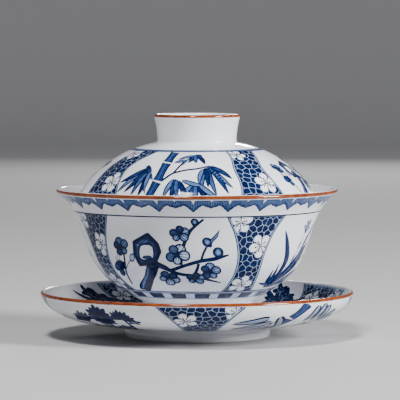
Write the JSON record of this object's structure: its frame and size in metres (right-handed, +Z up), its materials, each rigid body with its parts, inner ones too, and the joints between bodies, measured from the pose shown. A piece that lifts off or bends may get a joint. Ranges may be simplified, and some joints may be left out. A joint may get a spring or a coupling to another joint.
{
  "type": "gaiwan",
  "caption": "Lidded porcelain tea bowl on its own saucer, for steeping and drinking tea; white glaze, brown lips and cobalt painting of plum, orchid and bamboo.",
  "frame": {"origin": "centre of the saucer's foot, on the table", "axes": "+Z up, along the axis of the saucer, bowl and lid; -Y towards the painted front panel"},
  "size_m": [0.1148, 0.1148, 0.0817],
  "materials": {
    "white_glaze": "clear glossy glaze over cool white porcelain",
    "foot_glaze": "clear glaze, wiped off the edge that stands on the table",
    "brown_glaze": "glossy iron-brown lip dressing",
    "cobalt_painting": "cobalt painting under the clear glaze"
  },
  "bodies": {
    "saucer": {"saucer_dish": "white_glaze", "saucer_foot_ring": "foot_glaze", "saucer_rim_band": "brown_glaze"},
    "bowl": {"bowl_body": "white_glaze", "bowl_foot_ring": "foot_glaze", "bowl_rim_band": "brown_glaze"},
    "lid": {"lid_dome": "white_glaze", "lid_knob_ring": "white_glaze", "lid_knob_band": "brown_glaze", "lid_edge_band": "brown_glaze"}
  },
  "joints": [
    {"name": "bowl_lift", "type": "slide", "parent": "saucer", "child": "bowl", "axis": [0, 0, 1], "range_m": [0, 0.06]},
    {"name": "lid_lift", "type": "slide", "parent": "bowl", "child": "lid", "axis": [0, 0, 1], "range_m": [0, 0.06]}
  ]
}
